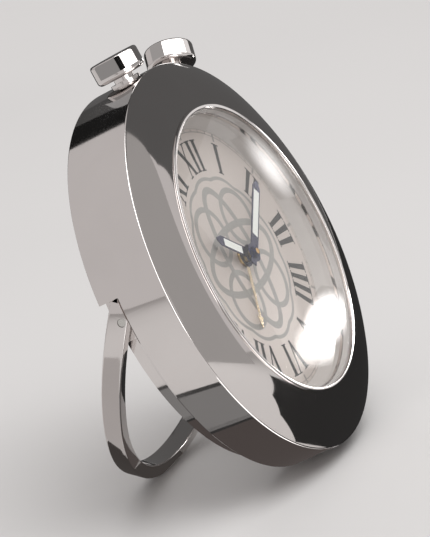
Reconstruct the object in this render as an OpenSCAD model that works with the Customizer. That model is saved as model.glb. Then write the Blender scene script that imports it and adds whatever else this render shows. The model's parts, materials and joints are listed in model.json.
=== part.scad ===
// Travel alarm clock: a thick round steel case with two crowns, held up by a folding hoop stand.
// Every piece is drawn in the clock's own axes (X to 3 o'clock, Y to 12 o'clock, Z out of the
// dial, Z = 0 at the front edge of the case band) and place() then leans it back onto the table.

/* [Case] */
// Outer diameter of the case band
case_d = 80; // [74:1:96]
// Depth of the band at the top half
case_depth = 13.4; // [12.8:0.2:18]
// Radial thickness of the band around the movement space
band_wall = 5.8; // [4.8:0.1:8]
// Bright bevel on the front edge of the band
front_bevel = 0.35; // [0.1:0.05:0.6]
// Bevel on the back edges of the band
back_bevel = 0.3; // [0.1:0.05:0.6]

/* [Bezel and crystal] */
// Height of the domed bezel above the band
bezel_h = 3.2; // [2:0.1:5]
// Visible diameter of the crystal
crystal_d = 57.5; // [50:0.5:60]
// Thickness of the crystal at its edge
crystal_t = 1.6; // [1:0.1:2.4]
// Rise of the crystal's dome at its centre
crystal_dome = 0.7; // [0.2:0.1:1.2]
// Bulge of the bezel's curved face beyond a straight cone
bezel_bulge = 0.64; // [0.3:0.02:1]
// Depth of the dial face below the front edge of the band
dial_drop = 2.4; // [2.2:0.1:3.2]
// Thickness of the dial
dial_t = 0.45; // [0.3:0.05:0.6]

/* [Stand] */
// Width of the hoop along the clock's axis
hoop_w = 3.8; // [3:0.1:4.4]
// Radial thickness of the hoop
hoop_t = 2.6; // [2:0.1:3.2]
// Height of the hinge above the centre of the clock
hinge_up = 4; // [2:0.5:8]
// Distance from the hoop's front edge to the hinge pin's centre
hinge_in = 1.05; // [1:0.05:1.6]
// Diameter of the hinge pins
hinge_pin_d = 1.5; // [1.2:0.1:1.6]
// Height of each arm above its hinge pin
arm_above = 3.35; // [3:0.05:4]
// Opening angle of the stand at its stop
stand_open = 38.3; // [25:0.5:50]

/* [Crowns] */
// Diameter of each crown
crown_d = 9.9; // [7:0.1:11]
// Height of each crown's cap
crown_h = 4.2; // [3:0.1:6]
// Gap between the band and a crown that is pushed in
crown_gap = 1.35; // [0.8:0.05:2.5]
// Distance of the crowns' axes behind the front edge of the band
crown_back = 6; // [5.6:0.1:6.6]
// Angle between the two crowns, seen from the front
crown_spread = 30; // [24:1:60]
// Travel of each crown from pushed in to pulled out
crown_travel = 1.8; // [1:0.1:2.4]
// Diameter of the crowns' stems
stem_d = 1.6; // [1.2:0.1:1.8]

/* [Hands] */
// Clockwise angle of the minute hand
minute_angle = 58; // [0:1:359]
// Clockwise angle of the alarm hand
alarm_angle = 214; // [0:1:359]
// Length of the minute hand
minute_l = 19.4; // [14:0.2:24]
// Length of the hour hand
hour_l = 11.6; // [8:0.2:16]
// Length of the alarm hand
alarm_l = 15.2; // [10:0.2:20]

/* [Fits] */
// Radial clearance of a turning or sliding fit
run_fit = 0.05; // [0.02:0.01:0.08]
// Clearance between pieces that only lie beside each other
lay_fit = 0.15; // [0.08:0.01:0.3]

/* [Hidden] */
$fn = 96;
over = 1;                                   // how far a cut runs past the face that it opens

case_r = case_d / 2;
ledge_z = -(case_depth - hoop_w - lay_fit); // the step that the folded hoop lies against
back_z = -case_depth;
cavity_r = case_r - band_wall;

// back cover and its seat
cover_t = 1.3;
lip_t = 1;
cover_r = cavity_r + 0.6;
core_r = case_r - hoop_t - 1;               // the wall that stays inside the folded hoop
seat_z = back_z + cover_t;
lip_z = seat_z + lip_t;
lip_r = cavity_r - 3.7;
cover_screw_pcr = cavity_r - 1.6;
cover_screw_r = 0.8;
cover_head_r = 1.4;
cover_boss_r = 1.75;
cover_screw_l = 3.4;
cover_head_t = 0.7;
cover_slot = [0.4, 0.35];                   // width and depth of the screwdriver slot
cover_boss_h = 2.4;
cover_tap = 2;                              // depth of the screw holes above the lip
root = 0.3;                                 // how deep a boss is rooted in the wall behind it
sound_r = 0.6;
sound_ring_r = 3;
gasket_r = [cavity_r - 0.5, cavity_r + 0.3];
gasket_t = 0.6;

// bezel and what it holds
crystal_r = crystal_d / 2;
gasket_wall = 0.35;
crystal_seat_z = bezel_h - crystal_t - 0.2;
shoulder_r = crystal_r - 0.35;
shoulder_t = 0.5;
rim_r = crystal_r + gasket_wall + 0.6;      // top of the bezel's curve
skirt_r = cavity_r - run_fit;
bezel_run = case_r - front_bevel - rim_r;   // the bezel's face is an arc over this run
bezel_chord = sqrt(bezel_run * bezel_run + bezel_h * bezel_h);
arc_r = bezel_chord * bezel_chord / (8 * bezel_bulge) + bezel_bulge / 2;
arc_at = [rim_r + bezel_run / 2 - (arc_r - bezel_bulge) * bezel_h / bezel_chord,
    bezel_h / 2 - (arc_r - bezel_bulge) * bezel_run / bezel_chord];
dial_z = -dial_drop;
dial_back = dial_z - dial_t;
dial_r = crystal_r + 2.2;
flange_r = dial_r + 0.1;
flange_top = crystal_seat_z - shoulder_t - 0.05;
dial_bore_r = 1.9;
dial_feet = [75, 255];                      // directions of the dial's two feet
dial_foot_r = 0.5;
dial_foot_l = 1.2;

// hoop stand and its hinge
hinge_z = ledge_z - lay_fit - hinge_in;
pin_r = hinge_pin_d / 2;
hoop_ri = case_r - hoop_t;
boss_r = hoop_ri - 0.25;
notch_y = hinge_up + arm_above + 0.95;      // lower face of the full-depth half
arm_swing_r = notch_y - hinge_up - lay_fit;
boss_down = 4;
washer_r = hinge_in;                        // as large as the ledge beside the pin allows
washer_t = 0.25;
washer_x = sqrt(boss_r * boss_r - pow(hinge_up + washer_r, 2)) - washer_t;
pin_ring = 0.25;
pin_end = sqrt(case_r * case_r - pow(hinge_up + pin_r, 2)) - 0.05;
contact_in = -ledge_z - back_bevel;         // the edge of the band that stands on the table
arm_drop = case_r + hinge_up;
hoop_edge = hinge_in - back_bevel;
lean = atan((arm_drop - arm_drop * cos(stand_open) - hoop_edge * sin(stand_open))
    / (arm_drop * sin(stand_open) - hoop_edge * cos(stand_open) - contact_in - hinge_z));
table_drop = case_r * cos(lean) + contact_in * sin(lean);
front_reach = arc_at * [sin(lean), cos(lean)] + arc_r;
back_reach = hinge_up * sin(lean) - hinge_z * cos(lean) + (arm_drop - back_bevel) * sin(stand_open - lean)
    + (hoop_w - hinge_in) * cos(stand_open - lean);
footprint_y = (front_reach - back_reach) / 2;

// crowns
time_dir = 0;
alarm_dir = crown_spread;
alarm_out = crown_travel;                   // the alarm crown rests pulled out
tube_r = 3;
neck_r = 2;
tube_end = case_r + 0.45;
crown_z = -crown_back;
cap_base = case_r + crown_gap;
stem_r = stem_d / 2;
stem_end = 12;
groove_at = 24;
groove_w = 0.8;
groove_r = 0.45;
slide_w = 2.8;
slide_t = 0.6;
slide_drop = 0.8;
slide_top = -3.6;
seal_back = 2.6;                            // seal groove, from the outside of the band
seal_w = 0.9;
seal_in = 0.5;
stem_grip = 3.4;                            // length of stem held in the crown
cap_round = 0.6;

// movement: a bought-in unit of fixed size, so it keeps its own values
plate_r = 22;
dial_foot_pcr = max(plate_r + 1.2, dial_r - 3.95);
plate_z = [-7.2, -4.6];
bridge_z = [-10.4, -9.7];
pivot_r = 0.22;
pivot_fit = 0.03;
pivot_sink = 0.8;
arbor_r = 0.25;
backlash = 0.84;
third_at = polar(5.4, 215);
seconds_at = third_at + polar(5.1, 180);
step_at = seconds_at + polar(3.36, 240);
rotor_at = step_at + polar(3.36, 290);
minute_wheel_at = polar(6, 250);
idler_at = polar(8.5, 90 - alarm_dir);
stud_r = 0.4;
stud_top = [-3.45, -2.95];                  // of the minute wheel's stud and the idler's
post_r = 1.3;
post_screw = [0.5, 1.1, 3];                 // shank, head and length
land_r = 1.6;
bridge_w = 2.6;
battery_at = [11.5, -6.5];
battery_r = 5.8;
battery_z = [-10.4, -5.15];
coil_at = [-2, -18];
coil_l = 11;
coil_r = [0.6, 1.75];
stator_z = [-9.1, -8.7];
stator_w = 3;
core_z = [stator_z[0] - 0.7, stator_z[0]];
core_ends = [coil_at - [coil_l / 2 + 1.9, 0], coil_at + [coil_l / 2 + 1.9, 0]];
stator_elbow = [core_ends[1][0], coil_at[1] + 4.6];
holder_z = [plate_z[0], dial_back];
board_z = [-7.6, -7.2];
buzzer_at = [-9, 9];
screw_posts = [polar(12.6, 160), polar(8.2, 270), polar(8, 5)];

// the hands' tubes, one inside the other
centre_r = 0.5;
cannon_r = 0.85;
hour_tube_r = [cannon_r + run_fit, 1.25];
alarm_tube_r = [hour_tube_r[1] + run_fit, 1.7];
alarm_hand_z = [-1.75, -1.6];
hour_hand_z = [-0.7, -0.5];
minute_hand_z = [0.2, 0.4];
cap_z = 1.1;
hour_angle = 300 + minute_angle / 12;

function polar(r, a) = [r * cos(a), r * sin(a)];

// toothed outline: n teeth of module m, rounded to a point by tip, with flanks spread by foot
function tooth(n, m, i, a, tip, foot) =
    let (rp = n * m / 2, c = 360 / n * i + a, w = 90 / n * backlash)
    [polar(rp - 1.25 * m, c - w * foot), polar(rp, c - w), polar(rp + 0.55 * m, c - w * 0.75),
     polar(rp + 0.95 * m, c - w * tip), polar(rp + 0.95 * m, c + w * tip),
     polar(rp + 0.55 * m, c + w * 0.75), polar(rp, c + w), polar(rp - 1.25 * m, c + w * foot)];
function gear(n, m, a = 0, tip = 0.35, foot = 1.15) =
    [for (i = [0 : n - 1]) each tooth(n, m, i, a, tip, foot)];
// turn that sets a gear of n teeth in mesh, at angle dir from a gear of n0 teeth turned by a0
function mesh_turn(n, n0, a0, dir) = dir + 180 - (a0 - dir) * n0 / n + 180 / n;

module place() { translate([0, footprint_y, table_drop]) rotate([90 - lean, 0, 0]) children(); }
module at(p, z = 0) { translate([p[0], p[1], z]) children(); }
module disc(r, z) { translate([0, 0, z[0]]) cylinder(r = r, h = z[1] - z[0]); }
module ring(r, z) { difference() { disc(r[1], z); disc(r[0], [z[0] - over, z[1] + over]); } }
module toothed(n, m, z, a, tip = 0.35, foot = 1.15) {
    translate([0, 0, z[0]]) linear_extrude(z[1] - z[0]) polygon(gear(n, m, a, tip, foot));
}
module pinion(n, m, z, a) { toothed(n, m, z, a, 0.3, 0.9); }
// a wheel crossed out with four arms
module crossed_wheel(n, m, z, a) {
    rim = n * m / 2 - 2.6 * m;
    hub = max(0.8, n * m / 12);
    arm = rim / 4.5;
    difference() {
        toothed(n, m, z, a);
        difference() {
            ring([hub, rim], [z[0] - over, z[1] + over]);
            for (k = [0, 90]) rotate(k + 45) translate([-rim - over, -arm / 2, z[0] - 2 * over])
                cube([2 * rim + 2 * over, arm, 5 * over]);
        }
    }
}
// the crown assemblies lie along a radius, turned clockwise by dir and moved outwards by out
module on_radius(dir, out = 0) {
    rotate(-dir) translate([0, out, crown_z]) rotate([-90, 0, 0]) children();
}

// ---- case ----
module step_sector(z) {
    translate([0, 0, z[0]]) linear_extrude(z[1] - z[0]) difference() {
        translate([-case_r - over, -case_r - over]) square([2 * (case_r + over), case_r + over + notch_y]);
        circle(core_r);
        intersection() {
            circle(boss_r);
            translate([-case_r, hinge_up - boss_down]) square([2 * case_r, boss_down + case_r]);
        }
    }
}
module band_blank() {
    rotate_extrude() polygon([[cover_r + lay_fit, back_z], [case_r - back_bevel, back_z],
        [case_r, back_z + back_bevel], [case_r, -front_bevel], [case_r - front_bevel, 0], [cavity_r, 0],
        [cavity_r, lip_z], [lip_r, lip_z], [lip_r, seat_z], [gasket_r[0], seat_z],
        [gasket_r[0], seat_z + gasket_t], [gasket_r[1], seat_z + gasket_t], [gasket_r[1], seat_z],
        [cover_r + lay_fit, seat_z]]);
}
module ledge_bevel() {
    intersection() {
        rotate_extrude() polygon([[case_r - back_bevel - over, ledge_z - over],
            [case_r + over, ledge_z + back_bevel + over], [case_r + over, ledge_z - over]]);
        translate([-case_r - over, -case_r - over, ledge_z - over])
            cube([2 * (case_r + over), case_r + over + notch_y, 3 * over]);
    }
}
module hinge_bores(r, reach) {
    for (s = [-1, 1]) translate([s * reach[0], hinge_up, hinge_z]) rotate([0, s * 90, 0])
        cylinder(r = r, h = reach[1] - reach[0]);
}
// the four screws of the back cover
module cover_places() { for (k = [0 : 3]) rotate(45 + 90 * k) at([cover_screw_pcr, 0]) children(); }
module case_band() {
    color("silver") place() difference() {
        union() {
            band_blank();
            cover_places() disc(cover_boss_r, [lip_z - root, lip_z + cover_boss_h]);
        }
        step_sector([back_z - over, ledge_z]);
        ledge_bevel();
        cover_places() disc(cover_screw_r, [seat_z - over, lip_z + cover_tap]);
        for (d = [time_dir, alarm_dir]) on_radius(d) translate([0, 0, cavity_r - 2 * over])
            cylinder(r = tube_r, h = band_wall + 6 * over);
        hinge_bores(pin_r, [cavity_r - over, case_r + over]);
        hinge_bores(washer_r + lay_fit / 2, [washer_x, case_r + over]);
    }
}
module back_cover() {
    color("gainsboro") place() difference() {
        disc(cover_r, [back_z, seat_z]);
        cover_places() {
            disc(cover_screw_r + lay_fit, [back_z - over, seat_z + over]);
            disc(cover_head_r + lay_fit, [back_z - over, back_z + cover_head_t]);
        }
        at(buzzer_at) for (k = [0 : 6]) at(k == 0 ? [0, 0] : polar(sound_ring_r, 60 * k))
            disc(sound_r, [back_z - over, seat_z + over]);
    }
}
module back_gasket() { color("black") place() ring(gasket_r, [seat_z, seat_z + gasket_t]); }
module cover_screws() {
    color("lightgray") place() cover_places() difference() {
        union() {
            disc(cover_head_r, [back_z, back_z + cover_head_t]);
            disc(cover_screw_r, [back_z + cover_head_t - 0.1, back_z + cover_screw_l]);
        }
        translate([-cover_head_r - over, -cover_slot[0] / 2, back_z - over])
            cube([2 * (cover_head_r + over), cover_slot[0], over + cover_slot[1]]);
    }
}

// ---- bezel, crystal and dial ----
module bezel() {
    bore_r = crystal_r + gasket_wall;
    color("silver") place() rotate_extrude($fn = 192) difference() {
        union() {
            intersection() {
                translate(arc_at) circle(arc_r, $fn = 192);
                translate([bore_r, 0]) square([case_r - front_bevel - bore_r, bezel_h + over]);
                polygon([[bore_r, -over], [bore_r, bezel_h - 0.25], [bore_r + 0.3, bezel_h],
                    [rim_r, bezel_h], [rim_r, 4 * bezel_h], [case_r, 4 * bezel_h], [case_r, -over]]);
            }
            translate([shoulder_r, flange_top + 0.05]) square([bore_r - shoulder_r + over, shoulder_t]);
            translate([bore_r, 0]) square([over, crystal_seat_z]);
            translate([flange_r + lay_fit, dial_back])
                square([skirt_r - flange_r - lay_fit, over - dial_back]);
        }
        translate([0, dial_back - over]) square([flange_r + lay_fit, flange_top + 0.05 - dial_back + over]);
    }
}
module crystal() {
    steps = 10;
    dome = [for (i = [0 : steps]) let (x = crystal_r * i / steps)
        [x, crystal_seat_z + crystal_t + crystal_dome * (1 - pow(x / crystal_r, 2))]];
    color("white", 0.25) place() rotate_extrude($fn = 192)
        polygon(concat(dome, [[crystal_r, crystal_seat_z], [0, crystal_seat_z]]));
}
module crystal_gasket() {
    color("dimgray") place()
        ring([crystal_r, crystal_r + gasket_wall], [crystal_seat_z, crystal_seat_z + crystal_t - 0.3]);
}
module flange_ring() {
    color("gray") place() rotate_extrude($fn = 192) polygon([[crystal_r - 1.7, dial_z], [flange_r, dial_z],
        [flange_r, flange_top], [shoulder_r, flange_top]]);
}
module dial() {
    color("mistyrose") place() {
        ring([dial_bore_r, dial_r], [dial_back, dial_z]);
        for (a = dial_feet) at(polar(dial_foot_pcr, a))
            disc(dial_foot_r, [dial_back - dial_foot_l, dial_back]);
    }
}

// ---- movement ----
module stem_ways(r) {
    for (d = [time_dir, alarm_dir]) on_radius(d) translate([0, 0, stem_end - 3 * over])
        cylinder(r = r, h = case_r);
}
module movement_holder() {
    color("dimgray") place() difference() {
        ring([plate_r + lay_fit, skirt_r], holder_z);
        stem_ways(stem_r + lay_fit);
        slide_pockets();
        for (a = dial_feet) at(polar(dial_foot_pcr, a))
            disc(dial_foot_r + run_fit, [dial_back - dial_foot_l - 0.2, dial_back + over]);
    }
}
// room for each slide to travel with its stem, from pushed in to pulled out
module slide_pockets() {
    low = crown_z - slide_drop - lay_fit;
    for (d = [time_dir, alarm_dir]) rotate(-d)
        translate([-slide_w / 2 - run_fit, groove_at - slide_t / 2 - lay_fit, low])
            cube([slide_w + 2 * run_fit, slide_t + crown_travel + 2 * lay_fit, slide_top + lay_fit - low]);
}
module main_plate() {
    color("darkseagreen") place() difference() {
        disc(plate_r, plate_z);
        stem_ways(stem_r + run_fit);
        disc(centre_r + run_fit, [plate_z[0] - over, plate_z[1] + over]);
        at(battery_at) disc(battery_r + lay_fit, [plate_z[0] - over, battery_z[1] + 0.2]);
        for (p = [third_at, seconds_at, step_at, rotor_at]) at(p)
            disc(pivot_r + pivot_fit, [plate_z[0] - over, plate_z[0] + pivot_sink]);
        for (d = [time_dir, alarm_dir]) rotate(-d)
            translate([-2, stem_end - 2.5, crown_z - 1.4]) cube([4, 3, 3 + over]);
    }
    color("darkseagreen") place() {
        at(minute_wheel_at) disc(stud_r, [plate_z[1], stud_top[0]]);
        at(idler_at) disc(stud_r, [plate_z[1], stud_top[1]]);
        for (p = screw_posts) at(p) ring([post_screw[0], post_r], [bridge_z[1], plate_z[0]]);
    }
}
module bar(a, b, w) {
    d = b - a;
    translate(a) rotate(atan2(d[1], d[0])) translate([0, -w / 2]) square([norm(d), w]);
}
// a flat strip through a row of points, with round lands on them
module strip(route, w, land) {
    for (k = [1 : len(route) - 1]) bar(route[k - 1], route[k], w);
    for (p = route) translate(p) circle(land);
}
module bridge_outline() {
    strip([screw_posts[0], seconds_at, step_at, rotor_at, screw_posts[1]], bridge_w, land_r);
    strip([seconds_at, third_at, [0, 0], screw_posts[2]], bridge_w, land_r);
}
module train_bridge() {
    color("silver") place() difference() {
        translate([0, 0, bridge_z[0]]) linear_extrude(bridge_z[1] - bridge_z[0]) bridge_outline();
        for (p = [[0, 0], third_at, seconds_at, step_at, rotor_at]) at(p)
            disc(pivot_r + pivot_fit, [bridge_z[0] - over, bridge_z[1] + over]);
        for (p = screw_posts) at(p) disc(0.6, [bridge_z[0] - over, bridge_z[1] + over]);
    }
}
module bridge_screws() {
    color("lightgray") place() for (p = screw_posts) at(p) difference() {
        union() {
            disc(post_screw[1], [bridge_z[0] - 0.5, bridge_z[0]]);
            disc(post_screw[0], [bridge_z[0] - 0.1, bridge_z[0] + post_screw[2]]);
        }
        translate([-1 - over, -0.15, bridge_z[0] - 0.5 - over]) cube([2 + 2 * over, 0.3, over + 0.25]);
    }
}
module arbor(z, pins) {
    disc(arbor_r, z);
    disc(pivot_r, [pins[0], z[0] + 0.01]);
    disc(pivot_r, [z[1] - 0.01, pins[1]]);
}
train_pins = [bridge_z[0] + 0.15, plate_z[0] + 0.5];
train_span = [bridge_z[1] + 0.05, plate_z[0] - 0.05];
centre_turn = 0;
third_turn = mesh_turn(8, 64, centre_turn, 215);
seconds_turn = mesh_turn(8, 60, third_turn, 180);
step_turn = mesh_turn(8, 40, seconds_turn, 240);
rotor_turn = mesh_turn(8, 48, step_turn, 290);
module centre_wheel() {
    color("goldenrod") place() {
        crossed_wheel(64, 0.15, [-8, -7.7], centre_turn);
        disc(arbor_r, [train_span[0], -7.7]);
        disc(pivot_r, [train_pins[0], train_span[0] + 0.01]);
        disc(centre_r, [-7.9, minute_hand_z[1]]);
    }
}
module third_wheel() {
    color("goldenrod") place() at(third_at) {
        crossed_wheel(60, 0.15, [-8.9, -8.6], third_turn);
        pinion(8, 0.15, [-8.25, -7.45], third_turn);
        arbor(train_span, train_pins);
    }
}
module seconds_wheel() {
    color("goldenrod") place() at(seconds_at) {
        crossed_wheel(40, 0.14, [-8, -7.7], seconds_turn);
        pinion(8, 0.15, [-9.1, -8.4], seconds_turn);
        arbor(train_span, train_pins);
    }
}
module step_wheel() {
    color("ivory") place() at(step_at) {
        crossed_wheel(48, 0.12, [-9.45, -9.2], step_turn);
        pinion(8, 0.14, [-8.15, -7.5], step_turn);
        arbor(train_span, train_pins);
    }
}
module rotor() {
    color("dimgray") place() at(rotor_at) {
        disc(2.2, [-9.05, -8.5]);
        pinion(8, 0.12, [-9.55, -9.05], rotor_turn);
        arbor(train_span, train_pins);
    }
}
module stator() {
    color("slategray") place() difference() {
        translate([0, 0, stator_z[0]]) linear_extrude(stator_z[1] - stator_z[0]) {
            translate(rotor_at) circle(3.3);
            strip([core_ends[0], rotor_at, stator_elbow, core_ends[1]], stator_w, stator_w / 2);
        }
        at(rotor_at) disc(2.5, [stator_z[0] - over, stator_z[1] + over]);
        at(step_at) disc(arbor_r + 0.2, [stator_z[0] - over, stator_z[1] + over]);
    }
}
module coil_winding() {
    color("chocolate") place() translate([coil_at[0] - coil_l / 2, coil_at[1], (core_z[0] + core_z[1]) / 2])
        rotate([0, 90, 0]) ring(coil_r, [0, coil_l]);
}
module coil_core() {
    color("slategray") place() translate([0, 0, core_z[0]]) linear_extrude(core_z[1] - core_z[0]) {
        bar(core_ends[0], core_ends[1], 0.9);
        for (p = core_ends) translate(p) circle(stator_w / 2 - 0.3);
    }
}
module circuit_board() {
    color("darkgreen") place() translate([0, 0, board_z[0]])
        linear_extrude(board_z[1] - board_z[0]) difference() {
        intersection() {
            circle(plate_r - 1);
            translate([3, -plate_r]) square([plate_r, 2 * plate_r - 4]);
        }
        translate(battery_at) circle(battery_r + 0.5);
        circle(6);
        translate(screw_posts[2]) circle(2);
        translate(coil_at + [coil_l / 2, 0]) circle(4);
    }
}
module driver_chip() { color("black") place() translate([10, 8, board_z[0] - 0.9]) cube([3.2, 3.2, 0.9]); }
module quartz_can() {
    color("silver") place() translate([8, 4.5, board_z[0] - 1]) rotate([0, 90, 0]) cylinder(r = 1, h = 6);
}
module battery() {
    color("silver") place() at(battery_at) {
        disc(battery_r, [battery_z[0], battery_z[1] - 0.4]);
        disc(battery_r - 0.8, [battery_z[1] - 0.5, battery_z[1]]);
    }
}
module battery_strap() {
    color("lightgray") place() {
        translate([battery_at[0] - 1.5, battery_at[1] - 4, battery_z[0] - 0.3]) cube([3, 12.4, 0.3]);
        translate([battery_at[0] - 1.5, battery_at[1] + 8, battery_z[0] - 0.3])
            cube([3, 0.4, board_z[0] - battery_z[0] + 0.3]);
    }
}
module battery_leaf() {
    color("lightgray") place() at(battery_at) disc(2.6, [battery_z[1], battery_z[1] + 0.2]);
}
module buzzer() {
    color("goldenrod") place() at(buzzer_at) {
        disc(10, [seat_z, seat_z + 0.2]);
        disc(7, [seat_z + 0.2, seat_z + 0.45]);
    }
}

// ---- motion work and hands ----
minute_turn = 90 - minute_angle;
wheel_turn = mesh_turn(36, 12, minute_turn, 250);
hour_turn = mesh_turn(40, 10, wheel_turn, 70);
alarm_turn = 90 - alarm_angle;
idler_turn = mesh_turn(20, 48, alarm_turn, 90 - alarm_dir);
module cannon_pinion() {
    color("goldenrod") place() difference() {
        union() {
            pinion(12, 0.25, [-4.5, -4], minute_turn);
            disc(cannon_r, [-4.5, minute_hand_z[0]]);
        }
        disc(centre_r + 0.03, [-5, minute_hand_z[1]]);
    }
}
module minute_wheel() {
    color("goldenrod") place() at(minute_wheel_at) difference() {
        union() {
            crossed_wheel(36, 0.25, [-4.4, -4.15], wheel_turn);
            pinion(10, 0.24, [-4.16, -3.5], wheel_turn);
        }
        disc(stud_r + run_fit, [-5, -3]);
    }
}
module hour_wheel() {
    color("goldenrod") place() difference() {
        union() {
            crossed_wheel(40, 0.24, [-3.85, -3.6], hour_turn);
            disc(hour_tube_r[1], [-3.85, hour_hand_z[0]]);
        }
        disc(hour_tube_r[0], [-5, 0]);
    }
}
module alarm_wheel() {
    color("goldenrod") place() difference() {
        union() {
            crossed_wheel(48, 0.25, [-3.3, -3.05], alarm_turn);
            disc(alarm_tube_r[1], [-3.3, alarm_hand_z[0]]);
        }
        disc(alarm_tube_r[0], [-5, 0]);
    }
}
module alarm_idler() {
    color("goldenrod") place() at(idler_at) difference() {
        toothed(20, 0.25, [-3.3, -3.05], idler_turn);
        disc(stud_r + run_fit, [-5, 0]);
    }
}
module baton(l, w, boss, bore, z, tail) {
    tip = 0.7 * w;
    translate([0, 0, z[0]]) linear_extrude(z[1] - z[0]) difference() {
        union() {
            circle(boss);
            translate([-w / 2, 0]) square([w, l - tip]);
            translate([0, l - tip]) polygon([[-w / 2, 0], [w / 2, 0], [0.16 * w, tip], [-0.16 * w, tip]]);
            translate([-tip / 2, -tail]) square([tip, tail]);
        }
        circle(bore);
    }
}
// the long opening in a hand, or what fills it: where it starts and ends, and its width
module slot(s, z, past = 0) {
    translate([-s[2] / 2, s[0], z[0] - past]) cube([s[2], s[1] - s[0], z[1] - z[0] + 2 * past]);
}
minute_slot = [4.6, minute_l - 2.6, 1.7];
hour_slot = [2.9, hour_l - 2.4, 1.55];
module minute_hand() {
    color("midnightblue") place() rotate(-minute_angle) difference() {
        baton(minute_l, 2.3, 1.9, cannon_r - 0.25, minute_hand_z, 3);
        slot(minute_slot, minute_hand_z, over);
    }
}
module minute_lume() { color("white") place() rotate(-minute_angle) slot(minute_slot, minute_hand_z); }
module hour_hand() {
    color("midnightblue") place() rotate(-hour_angle) difference() {
        baton(hour_l, 2.1, 2, hour_tube_r[0], hour_hand_z, 0.1);
        slot(hour_slot, hour_hand_z, over);
    }
}
module hour_lume() { color("white") place() rotate(-hour_angle) slot(hour_slot, hour_hand_z); }
module alarm_hand() {
    color("gold") place() rotate(-alarm_angle) translate([0, 0, alarm_hand_z[0]])
        linear_extrude(alarm_hand_z[1] - alarm_hand_z[0]) difference() {
            union() {
                circle(2.1);
                polygon([[-0.5, 0], [0.5, 0], [0.28, alarm_l - 2.4], [0.9, alarm_l - 2.4], [0, alarm_l],
                    [-0.9, alarm_l - 2.4], [-0.28, alarm_l - 2.4]]);
            }
            circle(alarm_tube_r[0]);
        }
}
module hand_cap() {
    color("gold") place() {
        disc(1.15, [minute_hand_z[1], cap_z - 0.3]);
        disc(0.75, [cap_z - 0.3, cap_z]);
    }
}

// ---- crowns ----
module tube(dir) {
    color("silver") place() on_radius(dir) difference() {
        translate([0, 0, cavity_r + run_fit]) cylinder(r = tube_r, h = tube_end - cavity_r - run_fit);
        translate([0, 0, cavity_r - over]) cylinder(r = neck_r + run_fit, h = band_wall + 4 * over);
    }
}
module crown(dir, out) {
    rim = crown_d / 2 - cap_round;
    foot = cap_round / 2;
    color("silver") place() on_radius(dir, out) difference() {
        union() {
            translate([0, 0, cap_base]) rotate_extrude() {
                square([rim, crown_h]);
                translate([0, foot]) square([crown_d / 2, crown_h - foot - cap_round]);
                translate([rim, crown_h - cap_round]) intersection() {
                    circle(cap_round);
                    square(cap_round);
                }
                translate([rim, 0]) polygon([[0, 0], [foot, 0], [cap_round, foot], [0, foot]]);
            }
            translate([0, 0, cavity_r + 1]) cylinder(r = neck_r, h = cap_base - cavity_r - 1 + 0.1);
        }
        translate([0, 0, cavity_r]) cylinder(r = stem_r, h = stem_grip);
        translate([0, 0, case_r - seal_back]) difference() {
            cylinder(r = neck_r + over, h = seal_w);
            translate([0, 0, -over]) cylinder(r = neck_r - seal_in, h = seal_w + 2 * over);
        }
    }
}
module seal(dir, out) {
    color("black") place() on_radius(dir, out) translate([0, 0, case_r - seal_back + seal_w / 2])
        rotate_extrude() translate([neck_r - 0.24, 0]) circle(0.26, $fn = 24);
}
module stem(dir, out) {
    color("lightgray") place() on_radius(dir, out) difference() {
        translate([0, 0, stem_end]) cylinder(r = stem_r, h = cavity_r + stem_grip - stem_end);
        translate([0, 0, groove_at - groove_w / 2]) difference() {
            cylinder(r = stem_r + over, h = groove_w);
            translate([0, 0, -over]) cylinder(r = groove_r, h = groove_w + 2 * over);
        }
    }
}
module slide(dir, out) {
    low = crown_z - slide_drop;
    fork = groove_r + run_fit;
    color("khaki") place() rotate(-dir) translate([0, out, 0]) difference() {
        translate([-slide_w / 2, groove_at - slide_t / 2, low]) cube([slide_w, slide_t, slide_top - low]);
        translate([-fork, groove_at - over, crown_z - over]) cube([2 * fork, 2 * over, over + fork]);
    }
}
module time_tube() { tube(time_dir); }
module time_crown() { crown(time_dir, 0); }
module time_crown_seal() { seal(time_dir, 0); }
module time_stem() { stem(time_dir, 0); }
module time_slide() { slide(time_dir, 0); }
module alarm_tube() { tube(alarm_dir); }
module alarm_crown() { crown(alarm_dir, alarm_out); }
module alarm_crown_seal() { seal(alarm_dir, alarm_out); }
module alarm_stem() { stem(alarm_dir, alarm_out); }
module alarm_slide() { slide(alarm_dir, alarm_out); }

// ---- stand ----
module hoop_folded() {
    front = ledge_z - lay_fit;
    intersection() {
        difference() {
            rotate_extrude() polygon([[hoop_ri, back_z], [hoop_ri, front], [case_r - back_bevel, front],
                [case_r, front - back_bevel], [case_r, back_z + back_bevel], [case_r - back_bevel, back_z]]);
            translate([-case_r - over, hinge_up + arm_above, back_z - over])
                cube([2 * (case_r + over), case_r, case_depth]);
            hinge_bores(pin_r + run_fit, [hoop_ri - 2 * over, case_r + over]);
            hinge_bores(pin_r + pin_ring, [pin_end - 0.35, case_r + over]);
        }
        union() {
            translate([-case_r - over, -case_r - over, back_z - over])
                cube([2 * (case_r + over), case_r + over + hinge_up, case_depth]);
            translate([-case_r - over, hinge_up, hinge_z]) rotate([0, 90, 0])
                cylinder(r = arm_swing_r, h = 2 * (case_r + over));
        }
    }
}
module hoop_stand() {
    color("silver") place() difference() {
        translate([0, hinge_up, hinge_z]) rotate([stand_open, 0, 0])
            translate([0, -hinge_up, -hinge_z]) hoop_folded();
        translate([-case_r - over, hinge_up - over, ledge_z - 0.02])
            cube([2 * (case_r + over), 3 * arm_above, case_depth]);
    }
}
module hinge_pins() { color("lightgray") place() hinge_bores(pin_r, [cavity_r + 0.1, pin_end]); }
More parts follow.
